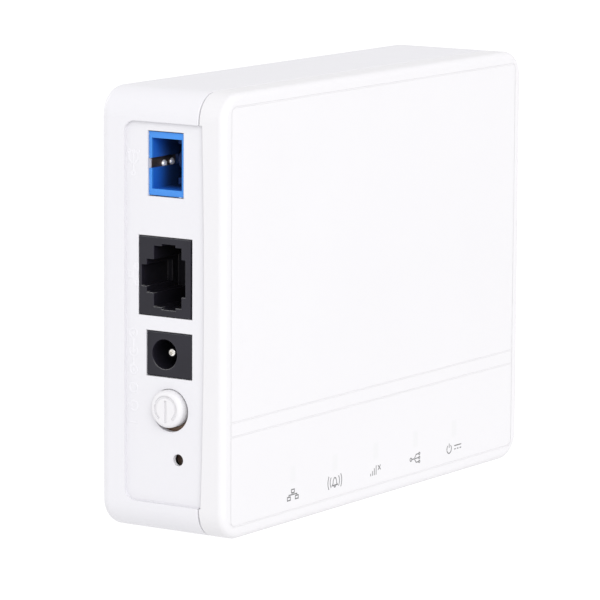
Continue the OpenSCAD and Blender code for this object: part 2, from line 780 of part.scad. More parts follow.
module reset_plunger() {
    color("#5a4a44") in_case() {
        rod_x(reset_y, reset_z, reset_stem_r, reset_tip_x, reset_x0 + 0.7);
        rod_x(reset_y, reset_z, 2.1, reset_x0 + 0.65, reset_x0 + 1.4);
    }
}

module reset_dome() {
    apex_x = reset_x0 + 1.5;
    base_x = reset_x0 + reset_l - 0.65;
    rise = base_x - apex_x;
    foot = 2.25;
    ball_r = (foot * foot + rise * rise) / (2 * rise);
    color("#c9ccd1") in_case() intersection() {
        difference() {
            translate([apex_x + ball_r, reset_y, reset_z]) sphere(r = ball_r);
            translate([apex_x + ball_r, reset_y, reset_z]) sphere(r = ball_r - 0.12);
        }
        rod_x(reset_y, reset_z, foot, apex_x - 1, base_x);
    }
}

module indicator_leds() {
    color("#f3f1c8") in_case() for (x = led_x)
        block([x - 0.8, board_front_y - 0.95, led_z - 1.6], [x + 0.8, board_front_y - 0.02, led_z + 1.6]);
}

// Flat chip lying on the back of the board, centred on x and z
module chip(x, z, w, h, t) {
    block([x - w / 2, part_y, z - h / 2], [x + w / 2, part_y + t, z + h / 2]);
}

module main_processor() {
    color("#2a2a2c") in_case() {
        chip(cpu_x, cpu_z, 17, 17, 0.6);
        chip(cpu_x, cpu_z, 14, 14, cpu_t);
    }
}

module thermal_pad() {
    y0 = part_y + cpu_t + eps;
    color("#8fb4c8") in_case() block([cpu_x - 6.5, y0, cpu_z - 6.5], [cpu_x + 6.5, y0 + pad_t, cpu_z + 6.5]);
}

module heat_sink() {
    y0 = part_y + cpu_t + pad_t + 2 * eps;
    base_t = 1.6;
    fin_h = 8;
    size = 23;
    fins = 8;
    fin_t = 1;
    pitch = (size - fin_t) / (fins - 1);
    color("#a9adb3") in_case() translate([cpu_x - size / 2, y0, cpu_z - size / 2]) {
        cube([size, base_t, size]);
        for (i = [0:fins - 1]) translate([i * pitch, base_t - eps, 0]) cube([fin_t, fin_h, size]);
    }
}

module memory_chip() {
    color("#26262a") in_case() chip(32, 45, 9, 13, 1.1);
}

module flash_chip() {
    color("#26262a") in_case() {
        at = [32, 63];
        lead_pitch = 1.27;
        chip(at.x, at.y, 5.3, 5.3, 1.7);
        for (i = [-1.5:1:1.5], side = [-1, 1]) chip(at.x + i * lead_pitch, at.y + side * 3.3, 0.4, 1.3, 0.3);
    }
}

module laser_driver() {
    color("#26262a") in_case() chip(-4, 70, 5, 5, 0.9);
}

module power_inductors() {
    base_t = 1;
    drum_h = 3.2;
    color("#3c3d42") in_case() for (p = [[-32, 33], [-20, 33]]) {
        chip(p.x, p.y, 7, 7, base_t);
        rod_y(p.x, p.y, 3.2, board_y + base_t, board_y + base_t + drum_h);
    }
}

module electrolytic_capacitors() {
    color("#30323c") in_case() for (p = [[-31, 20, 4, 11.5], [-20, 20, 4, 11.5], [-9, 20, 3.15, 11]])
        translate([p.x, part_y, p.y]) rotate([-90, 0, 0]) rotate_extrude()
            rim_section(p[2], 0, p[3], 0, 0.5);
}

module crystal() {
    color("#c7c9cc") in_case() translate([cpu_x, part_y, 66]) rotate([-90, 0, 0]) {
        linear_extrude(3.4) round_rect(11, 4.7, 2.3);
        linear_extrude(0.4) round_rect(11.8, 5.4, 2.6);
    }
}

module small_components() {
    rows = [[-10, 26, 12], [22, 26, 10], [24, 72, 9], [-14, 60, 6], [22, 36, 3]];
    color("#b58e63") in_case() for (row = rows, i = [0:row[2] - 1])
        chip(row[0] + i * 2.2, row[1] + (i % 3) * 1.9, 1, i % 2 == 0 ? 1.6 : 0.9, i % 2 == 0 ? 0.7 : 0.45);
}

module debug_header() {
    at = [44, 30];
    pitch = 2.54;
    color("#232327") in_case() chip(at.x, at.y, 2.5, 10.2, 2.5);
    color("#d9b24c") in_case() for (i = [-1.5:1:1.5]) chip(at.x, at.y + i * pitch, 0.64, 0.64, 8);
}

front_cover();
rear_case();
light_guide();
rubber_feet();
rating_label();
case_screws();
board_screws();
main_board();
optical_receptacle();
receptacle_clip();
receptacle_latches();
ferrule_sleeve();
optical_module();
laser_can();
receiver_can();
optics_shield();
lan_socket_housing();
lan_contacts();
lan_transformer();
dc_socket_housing();
dc_socket_pin();
dc_socket_spring();
power_button();
button_guide();
switch_body();
switch_plunger();
switch_spring();
reset_switch_body();
reset_plunger();
reset_dome();
indicator_leds();
main_processor();
thermal_pad();
heat_sink();
memory_chip();
flash_chip();
laser_driver();
power_inductors();
electrolytic_capacitors();
crystal();
small_components();
debug_header();
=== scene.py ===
"""Looks of the optical network terminal: camera, light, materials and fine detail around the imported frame.

Metres, in the part's own frame: X along the case with the port panel at -X, the indicator face towards -Y,
Z up.
"""

import json
import math

import bmesh
import bpy
from mathutils import Matrix, Vector

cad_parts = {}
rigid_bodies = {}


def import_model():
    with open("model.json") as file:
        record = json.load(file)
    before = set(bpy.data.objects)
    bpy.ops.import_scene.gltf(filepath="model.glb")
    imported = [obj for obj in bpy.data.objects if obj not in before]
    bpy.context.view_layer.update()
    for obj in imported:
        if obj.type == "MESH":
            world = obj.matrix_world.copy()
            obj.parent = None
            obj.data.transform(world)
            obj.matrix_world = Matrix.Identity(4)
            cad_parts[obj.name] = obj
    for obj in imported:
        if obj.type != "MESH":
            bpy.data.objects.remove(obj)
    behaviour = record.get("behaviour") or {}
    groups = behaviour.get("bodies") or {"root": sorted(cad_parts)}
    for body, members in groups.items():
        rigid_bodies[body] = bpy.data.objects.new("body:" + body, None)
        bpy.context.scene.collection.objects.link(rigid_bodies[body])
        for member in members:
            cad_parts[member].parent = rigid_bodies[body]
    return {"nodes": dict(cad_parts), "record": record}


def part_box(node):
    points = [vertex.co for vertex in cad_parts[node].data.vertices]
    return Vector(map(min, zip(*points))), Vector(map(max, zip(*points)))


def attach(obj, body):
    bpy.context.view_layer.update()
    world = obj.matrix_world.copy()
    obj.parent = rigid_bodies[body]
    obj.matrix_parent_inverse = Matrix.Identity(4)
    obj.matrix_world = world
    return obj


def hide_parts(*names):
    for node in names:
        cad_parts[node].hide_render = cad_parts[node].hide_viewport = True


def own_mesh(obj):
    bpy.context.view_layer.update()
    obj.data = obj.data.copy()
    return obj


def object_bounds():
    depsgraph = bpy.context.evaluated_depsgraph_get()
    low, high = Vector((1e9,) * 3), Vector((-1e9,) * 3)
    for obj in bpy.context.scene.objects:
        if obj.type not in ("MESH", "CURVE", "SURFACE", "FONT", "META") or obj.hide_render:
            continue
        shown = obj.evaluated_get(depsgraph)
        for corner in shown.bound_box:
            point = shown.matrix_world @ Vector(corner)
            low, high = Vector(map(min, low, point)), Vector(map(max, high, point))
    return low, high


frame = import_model()
CAD_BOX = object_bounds()
MM = 0.001

# ---------------------------------------------------------------- places on the case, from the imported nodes

COVER_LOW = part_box("front_cover")[0]
CASE_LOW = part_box("rear_case")[0]
LABEL_LOW, LABEL_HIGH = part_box("rating_label")
BUTTON_LOW, BUTTON_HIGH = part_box("power_button")
OPTICAL_LOW, OPTICAL_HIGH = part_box("optical_receptacle")
LAN_LOW, LAN_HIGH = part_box("lan_socket_housing")
DC_LOW, DC_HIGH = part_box("dc_socket_housing")
LED_LOW, LED_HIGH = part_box("indicator_leds")
FRONT_Y = COVER_LOW.y
PORT_X = CASE_LOW.x
RECESS_DEPTH = 0.7 * MM
PANEL_X = PORT_X + RECESS_DEPTH  # floor of the port panel
CASE_Z = CASE_LOW.z

LED_COUNT = 5
LED_HALF = 0.8 * MM  # half the length of one LED along X
LED_PITCH = (LED_HIGH.x - LED_LOW.x - 2 * LED_HALF) / (LED_COUNT - 1)
LED_X = [LED_LOW.x + LED_HALF + i * LED_PITCH for i in range(LED_COUNT)]
LED_Z = (LED_LOW.z + LED_HIGH.z) / 2


# ---------------------------------------------------------------- node materials


BEVEL_SAMPLES = 6
EDGE_TURN = 0.12  # how far the rounded normal turns, as 1 - cosine, where an edge counts in full
GRAIN_DEPTH = 0.02 * MM
GLOSS_PATCH = 22  # the wide patches of uneven gloss are this many times the size of the grain
EDGE_GLOSS = 0.15  # share of the roughness that is polished off on edges


class Nodes:
    """A material's node tree, with short calls for adding and linking nodes."""

    def __init__(self, name):
        self.material = bpy.data.materials.new(name)
        self.material.use_nodes = True
        self.tree = self.material.node_tree
        self.bsdf = self.tree.nodes["Principled BSDF"]
        self.coords = self.add("ShaderNodeTexCoord").outputs["Object"]
        self.edges = None
        self.rounded = None

    def add(self, kind, inputs=None, **settings):
        node = self.tree.nodes.new(kind)
        for key, value in settings.items():
            setattr(node, key, value)
        for key, value in (inputs or {}).items():
            self.feed(node.inputs[key], value)
        return node

    def feed(self, socket, value):
        if isinstance(value, bpy.types.NodeSocket):
            self.tree.links.new(value, socket)
        else:
            socket.default_value = value

    def math(self, operation, *values):
        node = self.add("ShaderNodeMath", operation=operation)
        for i, value in enumerate(values):
            self.feed(node.inputs[i], value)
        return node.outputs[0]

    def noise(self, scale, detail=2.0, roughness=0.5, vector=None):
        inputs = {"Scale": scale, "Detail": detail, "Roughness": roughness, "Vector": vector or self.coords}
        return self.add("ShaderNodeTexNoise", inputs).outputs["Fac"]

    def ramp(self, value, from_low, from_high, to_low=0.0, to_high=1.0, smooth=False):
        inputs = {"Value": value, "From Min": from_low, "From Max": from_high}
        inputs.update({"To Min": to_low, "To Max": to_high})
        kind = "SMOOTHSTEP" if smooth else "LINEAR"
        return self.add("ShaderNodeMapRange", inputs, interpolation_type=kind).outputs["Result"]

    def mix(self, factor, first, second):
        node = self.add("ShaderNodeMix", data_type="RGBA")
        self.feed(node.inputs["Factor"], factor)
        self.feed(node.inputs["A"], first)
        self.feed(node.inputs["B"], second)
        return node.outputs["Result"]

    def stretched(self, x, y, z):
        """Object coordinates scaled per axis, for brushed and drawn surfaces."""
        return self.add("ShaderNodeMapping", {"Vector": self.coords, "Scale": (x, y, z)}).outputs["Vector"]

    def axis(self, name):
        """One object coordinate: X, Y or Z."""
        return self.add("ShaderNodeSeparateXYZ", {"Vector": self.coords}).outputs[name]

    def find_edges(self, radius):
        """Sets rounded, the normal with edges rounded off, and edges, 1 on an edge and 0 on flat ground."""
        bevel = self.add("ShaderNodeBevel", {"Radius": radius}, samples=BEVEL_SAMPLES)
        self.rounded = bevel.outputs["Normal"]
        flat = self.add("ShaderNodeNewGeometry").outputs["Normal"]
        same = self.add("ShaderNodeVectorMath", operation="DOT_PRODUCT")
        self.feed(same.inputs[0], self.rounded)
        self.feed(same.inputs[1], flat)
        self.edges = self.ramp(same.outputs["Value"], 1.0, 1.0 - EDGE_TURN)

    def recolour(self, factor, colour):
        """Mixes another colour over what the base colour is so far."""
        plain = self.bsdf.inputs["Base Color"].links[0].from_socket
        self.feed(self.bsdf.inputs["Base Color"], self.mix(factor, plain, colour))

    def bump(self, height, strength, distance, normal):
        inputs = {"Height": height, "Strength": strength, "Distance": distance, "Normal": normal}
        return self.add("ShaderNodeBump", inputs).outputs["Normal"]


def grey(value, tint=(1.0, 1.0, 1.0)):
    return (value * tint[0], value * tint[1], value * tint[2], 1.0)


def scaled(colour, factor):
    return tuple(min(1.0, c * factor) for c in colour[:3]) + (1.0,)


def surface(
    name,
    colour,
    rough,
    metal=0.0,
    mottle=0.03,
    mottle_scale=45.0,
    grain=0.15,
    grain_size=0.3 * MM,
    rough_spread=0.05,
    edge=0.15 * MM,
    edge_highlight_gain=1.06,
    brushed=None,
    **sockets,
):
    """A moulded, drawn or coated surface: soft colour variation, fine texture, uneven gloss, and edges
    painted lighter as a highlight.
    """
    n = Nodes(name)
    cloud = n.noise(mottle_scale, 3.0, 0.55)
    body = n.mix(n.ramp(cloud, 0.3, 0.7), scaled(colour, 1 - mottle), scaled(colour, 1 + mottle))
    n.find_edges(edge)
    # Painted highlight: the base colour is made lighter on edges by the edge gain factor
    n.feed(n.bsdf.inputs["Base Color"], n.mix(n.edges, body, scaled(colour, edge_highlight_gain)))
    fine_vector = n.stretched(*brushed) if brushed else n.coords
    fine = n.noise(1 / grain_size, 3.0, 0.6, fine_vector)
    wide = n.noise(1 / (grain_size * GLOSS_PATCH), 2.0, 0.5, fine_vector)
    patches = n.ramp(n.mix(0.5, fine, wide), 0.3, 0.7, rough - rough_spread, rough + rough_spread)
    polished = n.math("MULTIPLY", n.edges, rough * EDGE_GLOSS)
    n.feed(n.bsdf.inputs["Roughness"], n.math("SUBTRACT", patches, polished))
    n.feed(n.bsdf.inputs["Normal"], n.bump(fine, grain, GRAIN_DEPTH, n.rounded))
    n.bsdf.inputs["Metallic"].default_value = metal
    for key, value in sockets.items():
        n.bsdf.inputs[key.replace("_", " ")].default_value = value
    return n


def white_plastic(name, level, tint, rough, **more):
    return surface(name, grey(level, tint), rough, mottle=0.006, mottle_scale=30, grain=0.10,
                   grain_size=0.22 * MM, rough_spread=0.04, edge=0.18 * MM, edge_highlight_gain=1.02, **more)


CASE_TINT = (0.966, 0.957, 1.0)
COVER_TINT = (0.985, 0.973, 1.0)
COVER_LEVEL = 0.70
CASE_LEVEL = 0.708

# Indicator window: full tone inside the first distance from its middle, none outside the second
WINDOW_LEVEL = 0.679
WINDOW_TINT = (0.985, 0.98, 1.0)
WINDOW_HALF_X = (0.5 * MM, 1.4 * MM)
WINDOW_HALF_Z = (1.2 * MM, 2.2 * MM)
ROW_END = (3 * MM, 4 * MM)  # how far past the outermost windows their row fades out


def cover_material():
    """White cover, a trace darker where the light pipes end behind the thinned wall."""
    n = white_plastic("cover_plastic", COVER_LEVEL, COVER_TINT, 0.46)
    x, z = n.axis("X"), n.axis("Z")
    turns = n.math("DIVIDE", n.math("SUBTRACT", x, LED_X[0]), LED_PITCH)
    to_nearest = n.math("SUBTRACT", turns, n.math("ROUND", turns))
    off_x = n.math("MULTIPLY", n.math("ABSOLUTE", to_nearest), LED_PITCH)
    off_z = n.math("ABSOLUTE", n.math("SUBTRACT", z, LED_Z))
    inside = n.math("MULTIPLY", n.ramp(off_x, WINDOW_HALF_X[1], WINDOW_HALF_X[0], smooth=True),
                    n.ramp(off_z, WINDOW_HALF_Z[1], WINDOW_HALF_Z[0], smooth=True))
    inside = n.math("MULTIPLY", inside, n.ramp(x, LED_X[0] - ROW_END[1], LED_X[0] - ROW_END[0]))
    inside = n.math("MULTIPLY", inside, n.ramp(x, LED_X[-1] + ROW_END[1], LED_X[-1] + ROW_END[0]))
    n.recolour(inside, grey(WINDOW_LEVEL, WINDOW_TINT))
    return n.material


def blue_plastic():
    """Bright blue on the rim of the optical socket; painted shade makes it deeper blue inside its mouth and
    near black at its far end.
    """
    n = surface("optic_blue", (0.04, 0.235, 0.69, 1), 0.34, mottle=0.05, mottle_scale=180, grain=0.15,
                edge=0.12 * MM, edge_highlight_gain=1.25)
    x = n.axis("X")
    # Painted shade: the blue darkens with depth into the socket, along X
    mouth_shade = n.ramp(x, OPTICAL_LOW.x + 0.1 * MM, OPTICAL_LOW.x + 0.8 * MM, smooth=True)
    n.recolour(mouth_shade, (0.014, 0.13, 0.58, 1))
    deep_shade = n.ramp(x, OPTICAL_LOW.x + 1.0 * MM, OPTICAL_LOW.x + 7.0 * MM, smooth=True)
    n.recolour(deep_shade, (0.012, 0.035, 0.12, 1))
    return n.material


def black_plastic():
    """Socket black, with painted shade darker inside the holes and painted highlight lines along the edges
    that look upwards.
    """
    n = surface("socket_black", grey(0.0115, (1.0, 0.92, 1.5)), 0.38, mottle=0.15, mottle_scale=120,
                grain=0.3, grain_size=0.2 * MM, edge=0.3 * MM, edge_highlight_gain=1.8, Specular_IOR_Level=0.32)
    # Painted shade: darker towards the far end of the holes
    inside = n.ramp(n.axis("X"), LAN_LOW.x + 0.4 * MM, LAN_LOW.x + 2.5 * MM, smooth=True)
    n.recolour(n.math("MULTIPLY", inside, 0.7), grey(0.006, (1.0, 0.95, 1.3)))
    # Painted highlight: lighter lines on the edges that face upwards, where the light from above falls
    up = n.add("ShaderNodeSeparateXYZ", {"Vector": n.rounded}).outputs["Z"]
    painted_highlight = n.math("MULTIPLY", n.edges, n.ramp(up, 0.25, 0.6, smooth=True))
    painted_highlight = n.math("MULTIPLY", painted_highlight, n.ramp(inside, 0.4, 0.0))
    n.recolour(painted_highlight, grey(0.22))
    return n.material


def clip_bronze():
    """Dark oxide strip whose contact dimples are rubbed smoother and painted near white as a highlight."""
    n = surface("clip_bronze", (0.27, 0.21, 0.185, 1), 0.45, 1.0, mottle=0.15, mottle_scale=300,
                brushed=(0.25, 1, 1), edge=0.05 * MM, edge_highlight_gain=1.4)
    # Partly real polish, partly painted highlight: the dimples get lower roughness and metal, and a
    # near-white colour
    painted_highlight = n.ramp(n.axis("Y"), OPTICAL_HIGH.y - 0.02 * MM, OPTICAL_HIGH.y - 0.14 * MM, smooth=True)
    n.recolour(painted_highlight, (0.99, 0.985, 0.98, 1))
    plain = n.bsdf.inputs["Roughness"].links[0].from_socket
    n.feed(n.bsdf.inputs["Roughness"], n.math("MULTIPLY", plain, n.ramp(painted_highlight, 0.0, 1.0, 1.0, 0.5)))
    n.feed(n.bsdf.inputs["Metallic"], n.ramp(painted_highlight, 0.0, 1.0, 1.0, 0.45))
    return n.material


def board_material():
    """Green solder mask over copper tracks and plated holes."""
    n = surface("board_mask", (0.012, 0.13, 0.05, 1), 0.32, mottle=0.12, grain=0.25, edge=0.08 * MM,
                edge_highlight_gain=1.5, Coat_Weight=0.4, Coat_Roughness=0.15)
    cells = n.add("ShaderNodeTexVoronoi", {"Vector": n.coords, "Scale": 320.0}, feature="DISTANCE_TO_EDGE",
                  distance="EUCLIDEAN")
    tracks = n.ramp(cells.outputs["Distance"], 0.10, 0.05)
    brick = n.add("ShaderNodeTexBrick", {"Vector": n.coords, "Scale": 160.0, "Mortar Size": 0.03})
    lines = n.math("MAXIMUM", tracks, brick.outputs["Fac"])
    n.recolour(n.math("MULTIPLY", lines, 0.55), (0.03, 0.26, 0.09, 1))
    return n.material


MATERIALS = {
    "cover_white": cover_material(),
    "case_white": white_plastic("case_plastic", CASE_LEVEL, CASE_TINT, 0.48).material,
    "button_white": white_plastic("button_plastic", CASE_LEVEL, COVER_TINT, 0.55).material,
    "light_pipe": surface("pipe_acrylic", (0.93, 0.96, 0.97, 1), 0.12, mottle=0.02, grain=0.05, edge=0.1 * MM,
                          Transmission_Weight=0.85, IOR=1.49).material,
    "foot_rubber": surface("foot_rubber", grey(0.045), 0.75, mottle=0.2, grain=0.5, grain_size=0.15 * MM,
                           Specular_IOR_Level=0.3).material,
    "label_film": surface("label_film", grey(0.72, (0.98, 0.99, 1.0)), 0.42, mottle=0.02, grain=0.12,
                          edge=0.05 * MM, Coat_Weight=0.3, Coat_Roughness=0.25).material,
    "screw_steel": surface("screw_steel", grey(0.55), 0.28, 1.0, mottle=0.08, grain=0.2, grain_size=0.12 * MM,
                           edge=0.06 * MM, edge_highlight_gain=1.3).material,
    "board_green": board_material(),
    "optic_blue": blue_plastic(),
    "clip_bronze": clip_bronze(),
    "sleeve_ceramic": surface("sleeve_ceramic", (0.80, 0.77, 0.68, 1), 0.18, mottle=0.02, grain=0.05,
                              edge=0.05 * MM).material,
    "module_steel": surface("module_steel", grey(0.62), 0.26, 1.0, mottle=0.06, brushed=(1, 0.2, 0.2),
                            edge=0.1 * MM, edge_highlight_gain=1.2).material,
    "can_gold": surface("can_gold", (0.86, 0.62, 0.27, 1), 0.2, 1.0, mottle=0.06, edge=0.08 * MM).material,
    "shield_tin": surface("shield_tin", grey(0.66), 0.34, 1.0, mottle=0.1, mottle_scale=120,
                          brushed=(0.2, 1, 1), edge=0.08 * MM, edge_highlight_gain=1.2).material,
    "socket_black": black_plastic(),
    "contact_gold": surface("contact_gold", (0.90, 0.63, 0.25, 1), 0.2, 1.0, mottle=0.1, brushed=(0.2, 1, 1),
                            edge=0.03 * MM, edge_highlight_gain=1.1).material,
    "pin_nickel": surface("pin_nickel", (0.84, 0.82, 0.79, 1), 0.16, 1.0, mottle=0.06, brushed=(0.2, 1, 1),
                          edge=0.05 * MM).material,
    "spring_steel": surface("spring_steel", grey(0.5), 0.25, 1.0, mottle=0.08, edge=0.03 * MM).material,
    "switch_black": surface("switch_black", grey(0.022), 0.45, mottle=0.15, grain=0.35, edge=0.1 * MM,
                            edge_highlight_gain=2.0).material,
    "plunger_grey": surface("plunger_grey", grey(0.62), 0.42, mottle=0.03, edge=0.1 * MM).material,
    # Painted shade: the button guide is dark brown to stand in for the shade in the gap around the power
    # button
    "guide_brown": surface("guide_brown", (0.12, 0.07, 0.04, 1), 0.45, mottle=0.12, mottle_scale=300,
                           edge=0.1 * MM, edge_highlight_gain=1.4).material,
    "reset_brown": surface("reset_brown", (0.075, 0.045, 0.032, 1), 0.5, mottle=0.15, mottle_scale=400,
                           edge=0.08 * MM, edge_highlight_gain=1.8).material,
    "led_resin": surface("led_resin", (0.82, 0.77, 0.42, 1), 0.3, mottle=0.05, edge=0.06 * MM).material,
    "chip_black": surface("chip_black", grey(0.028), 0.55, mottle=0.15, mottle_scale=250, grain=0.6,
                          grain_size=0.08 * MM, edge=0.08 * MM, edge_highlight_gain=1.8).material,
    "pad_blue": surface("pad_blue", (0.22, 0.42, 0.55, 1), 0.7, mottle=0.08, grain=0.5,
                        edge=0.2 * MM).material,
    "sink_aluminium": surface("sink_aluminium", grey(0.55), 0.36, 1.0, mottle=0.06, brushed=(1, 1, 0.1),
                              edge=0.08 * MM, edge_highlight_gain=1.3).material,
    "ferrite_grey": surface("ferrite_grey", grey(0.06), 0.6, mottle=0.2, mottle_scale=300, grain=0.5,
                            edge=0.1 * MM, edge_highlight_gain=1.6).material,
    "capacitor_sleeve": surface("capacitor_sleeve", (0.022, 0.026, 0.045, 1), 0.3, mottle=0.1, grain=0.1,
                                edge=0.2 * MM, edge_highlight_gain=1.6).material,
    "crystal_can": surface("crystal_can", grey(0.6), 0.24, 1.0, mottle=0.05, brushed=(0.2, 1, 1),
                           edge=0.1 * MM).material,
    "small_part_tan": surface("small_part_tan", (0.42, 0.26, 0.13, 1), 0.4, mottle=0.15, mottle_scale=500,
                              edge=0.05 * MM, edge_highlight_gain=1.4).material,
}

for node in frame["nodes"].values():
    for held in node.material_slots:
        held.material = MATERIALS[held.material.name]

# The switch's coil spring and the reset switch's dome, which shorten towards their fixed end as their key
# goes in, are copied into pieces of their own on the joint's parent body, and the imported nodes hidden
for joint in frame["record"]["behaviour"]["joints"]:
    for soft in joint["deforming_nodes"]:
        name = soft["node"]
        piece = bpy.data.objects.new(name + "_soft", frame["nodes"][name].data.copy())
        bpy.context.collection.objects.link(piece)
        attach(piece, joint["parent"])
        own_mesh(piece)
        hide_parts(name)

INK = surface("label_ink", grey(0.165, (0.98, 0.98, 1.0)), 0.55, mottle=0.12, mottle_scale=900, grain=0.2,
              edge=0.02 * MM, edge_highlight_gain=1.15).material
PRINT = surface("plate_print", grey(0.10), 0.5, mottle=0.1, mottle_scale=700, grain=0.2,
                edge=0.02 * MM).material
# Painted highlight: the raised signs are the case white made a trace lighter
RAISED_HIGHLIGHT = surface("raised_sign", grey(0.735, CASE_TINT), 0.34, mottle=0.006, mottle_scale=30, grain=0.08,
                 grain_size=0.22 * MM, edge=0.02 * MM, edge_highlight_gain=1.02).material


# ---------------------------------------------------------------- raised signs, drawn as strokes


LINE_TOP = 0.72  # width of a raised line's top, as a share of its foot
SHARPEST_MITRE = 0.35  # keeps the corner of a sharp turn from running far out
STROKE_STEP = 0.04  # each stroke is this much higher than the one before, so that crossings stay clean


def mitred(points, half, closed):
    """Left and right edge of a line of the given half width along 2-D points."""
    points = [Vector(p) for p in points]
    count = len(points)
    edges = []
    for i, p in enumerate(points):
        ways = []
        if closed or i > 0:
            ways.append((p - points[i - 1]).normalized())
        if closed or i < count - 1:
            ways.append((points[(i + 1) % count] - p).normalized())
        sides = [Vector((-w.y, w.x)) for w in ways]
        out = (sides[0] + sides[-1]).normalized()
        out *= half / max(SHARPEST_MITRE, out.dot(sides[0]))
        edges.append((p + out, p - out))
    return edges


def stroke(mesh, place, points, width, height, closed):
    """A raised line. place(u, v, h) maps sign coordinates and height to a point of the part."""
    rings = []
    for left, right in mitred(points, width / 2, closed):
        middle = (left + right) / 2
        top_left, top_right = middle + (left - middle) * LINE_TOP, middle + (right - middle) * LINE_TOP
        rings.append([mesh.verts.new(place(*left, 0)), mesh.verts.new(place(*top_left, height)),
                      mesh.verts.new(place(*top_right, height)), mesh.verts.new(place(*right, 0))])
    steps = len(rings) if closed else len(rings) - 1
    for i in range(steps):
        a, b = rings[i], rings[(i + 1) % len(rings)]
        for j in range(4):
            k = (j + 1) % 4
            mesh.faces.new((a[j], a[k], b[k], b[j]))
    if not closed:
        mesh.faces.new(rings[0][::-1])
        mesh.faces.new(rings[-1])


def arc(cx, cy, radius, start, end, steps=24):
    full = abs(end - start) >= 360
    count = steps if full else steps + 1
    return [(cx + radius * math.cos(math.radians(start + (end - start) * i / steps)),
             cy + radius * math.sin(math.radians(start + (end - start) * i / steps))) for i in range(count)]


def box_line(cx, cy, w, h):
    low, high = (cx - w / 2, cy - h / 2), (cx + w / 2, cy + h / 2)
    return [low, (high[0], low[1]), high, (low[0], high[1])]


# Each sign is a list of (points, closed), in millimetres, about 2.2 mm high and centred on 0, 0
SIGNS = {
    "network": [
        (box_line(0, 0.72, 1.1, 0.66), True), (box_line(-1.45, -0.72, 1.1, 0.66), True),
        (box_line(1.45, -0.72, 1.1, 0.66), True), ([(0, 0.36), (0, 0.02)], False),
        ([(-1.45, -0.36), (-1.45, 0.0), (1.45, 0.0), (1.45, -0.36)], False),
    ],
    "bell": [
        ([(-1.0, -0.62), (-0.68, -0.25), (-0.6, 0.4), (-0.3, 0.86), (0, 0.98), (0.3, 0.86), (0.6, 0.4),
          (0.68, -0.25), (1.0, -0.62)], True),
        (arc(0, -0.62, 0.4, 200, 340, 8), False),
        (arc(0, 0.1, 1.75, -38, 38, 10), False), (arc(0, 0.1, 2.6, -32, 32, 10), False),
        (arc(0, 0.1, 1.75, 142, 218, 10), False), (arc(0, 0.1, 2.6, 148, 212, 10), False),
    ],
    "no_signal": [
        ([(-1.9, -1.0), (-1.9, -0.45)], False), ([(-1.2, -1.0), (-1.2, 0.0)], False),
        ([(-0.5, -1.0), (-0.5, 0.5)], False), ([(0.2, -1.0), (0.2, 1.0)], False),
        ([(0.9, -0.1), (1.9, 0.9)], False), ([(0.9, 0.9), (1.9, -0.1)], False),
    ],
    "splitter": [
        (arc(-1.75, 0, 0.34, 0, 360, 16), True), ([(-1.35, 0), (-0.35, 0)], False),
        ([(1.25, 0.86), (0.35, 0.86), (-0.3, 0.1)], False),
        ([(1.25, -0.86), (0.35, -0.86), (-0.3, -0.1)], False),
        ([(-0.2, 0), (1.25, 0)], False), (arc(1.6, 0.86, 0.24, 0, 360, 12), True),
        (arc(1.6, 0, 0.24, 0, 360, 12), True), (arc(1.6, -0.86, 0.24, 0, 360, 12), True),
    ],
    "power": [
        (arc(-1.9, -0.1, 0.92, 125, 415, 28), False), ([(-1.9, 0.15), (-1.9, 1.1)], False),
        ([(0.2, 0.32), (3.0, 0.32)], False), ([(0.2, -0.42), (0.8, -0.42)], False),
        ([(1.3, -0.42), (1.9, -0.42)], False), ([(2.4, -0.42), (3.0, -0.42)], False),
    ],
    "polarity": [
        (arc(-3.9, 0, 0.95, 0, 360, 24), True), ([(-4.35, 0), (-3.45, 0)], False),
        ([(-2.95, 0), (-1.0, 0)], False), (arc(0, 0, 1.0, 45, 315, 24), False),
        (arc(0, 0, 0.22, 0, 360, 12), True), ([(0.22, 0), (2.95, 0)], False),
        (arc(3.9, 0, 0.95, 0, 360, 24), True), ([(3.45, 0), (4.35, 0)], False),
        ([(3.9, -0.45), (3.9, 0.45)], False),
    ],
    "on_off": [
        ([(-3.7, -0.95), (-3.7, 0.95)], False), (arc(-0.3, -0.1, 0.95, 125, 415, 28), False),
        ([(-0.3, 0.1), (-0.3, 1.1)], False), (arc(3.4, 0, 0.95, 0, 360, 24), True),
    ],
}


def sign_piece(name, strokes, place, width, height, material):
    """A sign of raised lines that rides on the housing."""
    mesh = bmesh.new()
    for i, (points, closed) in enumerate(strokes):
        stroke(mesh, place, points, width, height * (1 + STROKE_STEP * i), closed)
    bmesh.ops.recalc_face_normals(mesh, faces=mesh.faces)
    data = bpy.data.meshes.new(name)
    mesh.to_mesh(data)
    mesh.free()
    data.materials.append(material)
    piece = bpy.data.objects.new(name, data)
    bpy.context.collection.objects.link(piece)
    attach(piece, "housing")


def on_front(x, z):
    """Sign coordinates on the indicator face, centred on x, z."""
    return lambda u, v, h: Vector((x + u * MM, FRONT_Y - h, z + v * MM))


def on_panel(y, z, size):
    """Sign coordinates on the port panel's floor. The signs lie on their side, reading upwards."""
    return lambda u, v, h: Vector((PANEL_X - h, y + v * size * MM, z + u * size * MM))


def on_label(x, z):
    """Sign coordinates on the rating label, read from behind the case."""
    return lambda u, v, h: Vector((x - u * MM, LABEL_HIGH.y + h, z + v * MM))


INK_HEIGHT = 0.012 * MM
INK_WIDTH = 0.26  # in millimetres, as all sign widths are
SIGN_DROP = 4.13 * MM  # from the middle of a window down to the middle of its sign
FRONT_SIGNS = ["network", "bell", "no_signal", "splitter", "power"]
for x, sign in zip(LED_X, FRONT_SIGNS):
    sign_piece("front_sign_" + sign, SIGNS[sign], on_front(x, LED_Z - SIGN_DROP), INK_WIDTH, INK_HEIGHT, INK)

